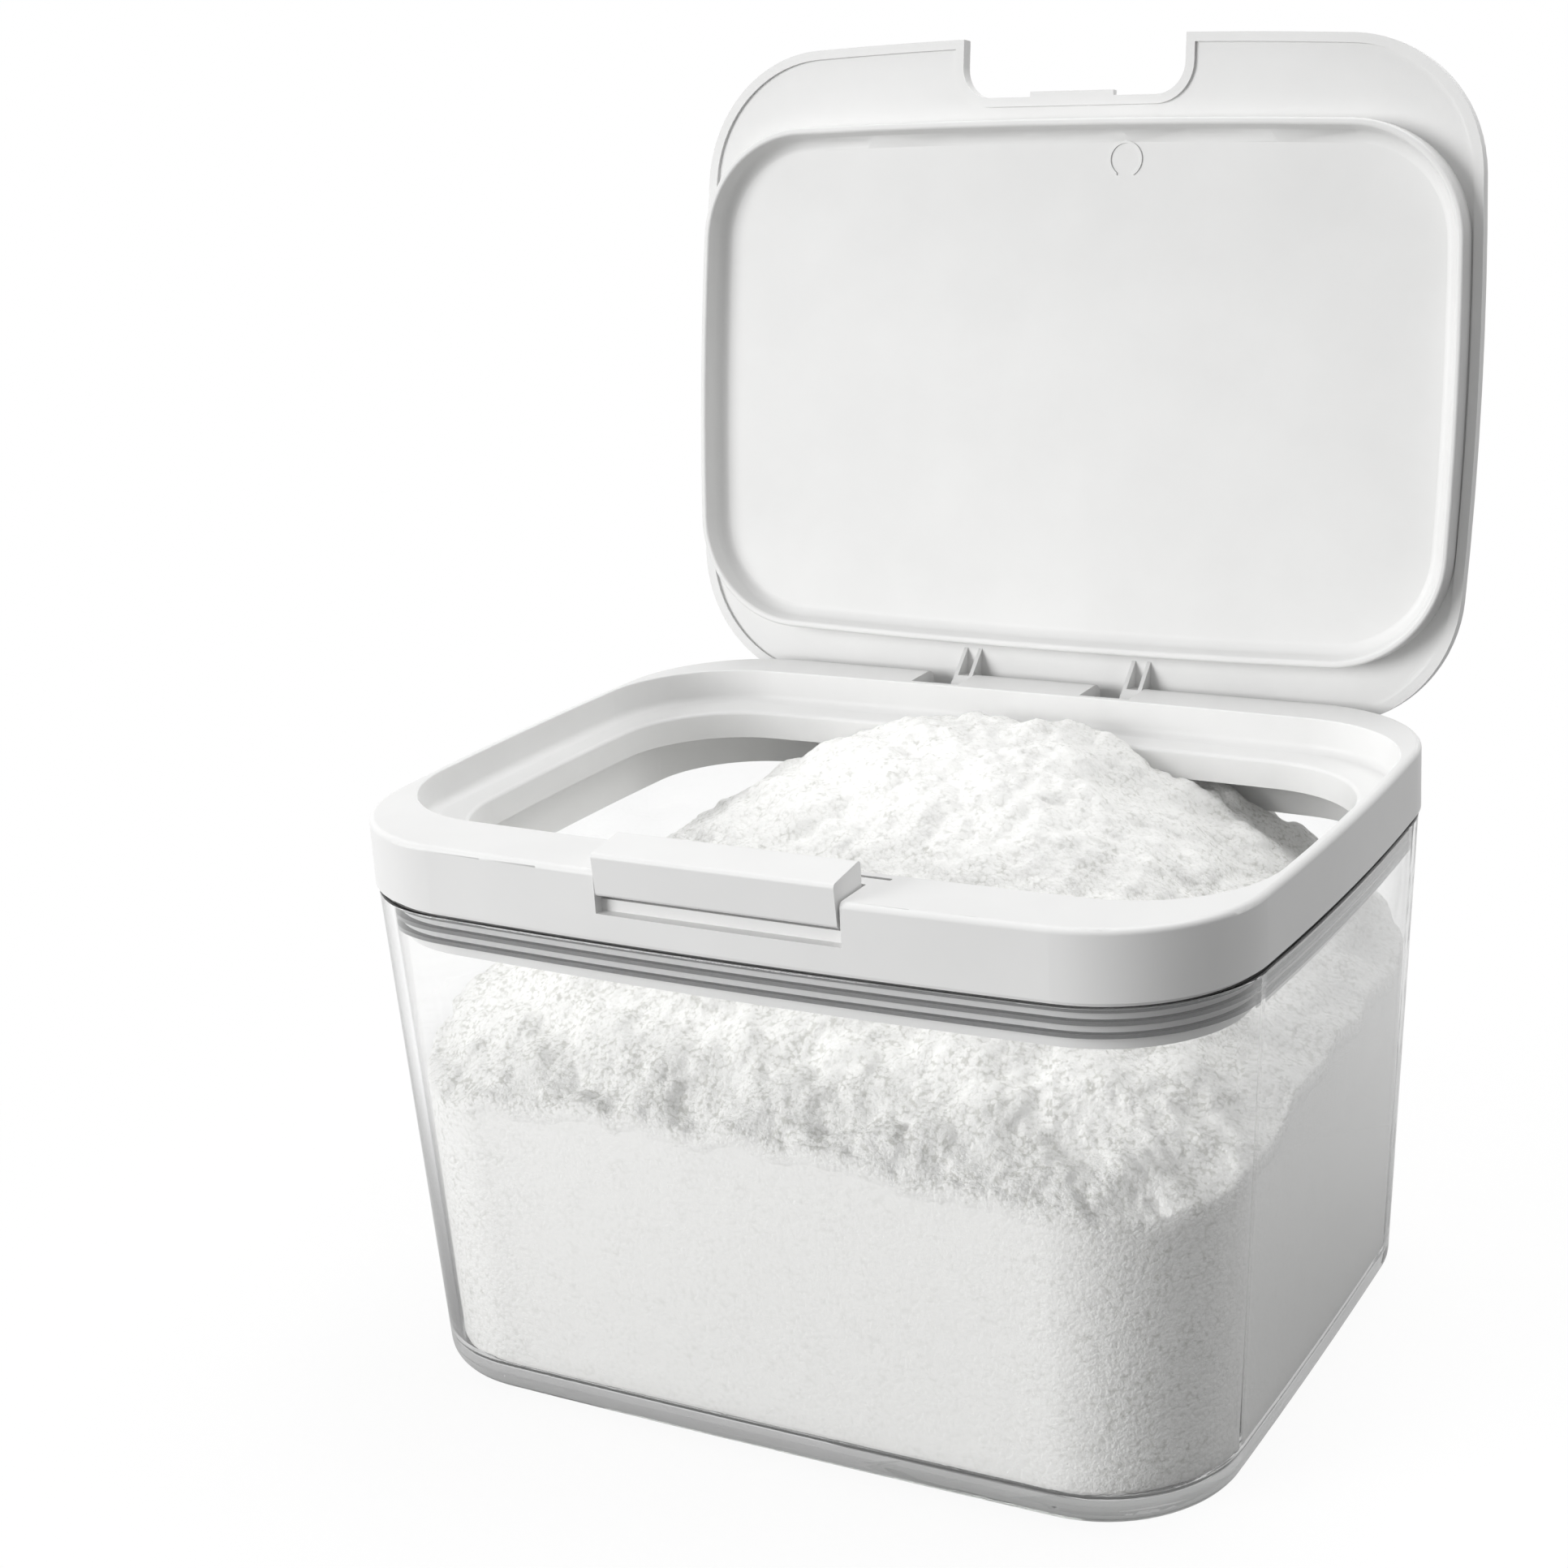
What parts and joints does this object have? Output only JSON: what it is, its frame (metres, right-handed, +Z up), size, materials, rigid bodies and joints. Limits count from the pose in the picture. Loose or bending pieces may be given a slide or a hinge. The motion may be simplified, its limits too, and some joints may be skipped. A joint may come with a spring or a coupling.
{
  "type": "detergent storage box",
  "caption": "Clear tapered tub with a white collar frame, a flip lid with a plug pan, a rocker latch button and a heap of washing powder, for storing and scooping detergent",
  "frame": {"origin": "the middle of the tub's flat underside, where the box stands", "axes": "+Z up, -Y towards the latch at the front, +X to the right seen from the front; the lid is modelled open"},
  "size_m": [0.21, 0.1946, 0.2843],
  "materials": {
    "clear_plastic": "clear gloss",
    "white_plastic": "fine satin",
    "latch_plastic": "fine satin",
    "grey_silicone": "soft matte",
    "pin_steel": "drawn wire",
    "powder": "loose fine grains"
  },
  "bodies": {
    "box": {"clear_tub": "clear_plastic", "collar_frame": "white_plastic", "tub_gasket": "grey_silicone", "latch_pin": "pin_steel", "hinge_pin_left": "pin_steel", "hinge_pin_right": "pin_steel", "detergent_powder": "powder"},
    "lid": {"lid_cover": "white_plastic", "lid_liner": "white_plastic"},
    "latch": {"latch_button": "latch_plastic"}
  },
  "joints": [
    {"name": "lid_hinge", "type": "hinge", "parent": "box", "child": "lid", "pos_m": [0, 0.0788, 0.126], "axis": [1, 0, 0], "range_deg": [0, 98.5]},
    {"name": "latch_rock", "type": "hinge", "parent": "box", "child": "latch", "pos_m": [0, -0.0764, 0.1276], "axis": [1, 0, 0], "range_deg": [0, 7], "stiffness_Nm_per_rad": 0.2}
  ]
}
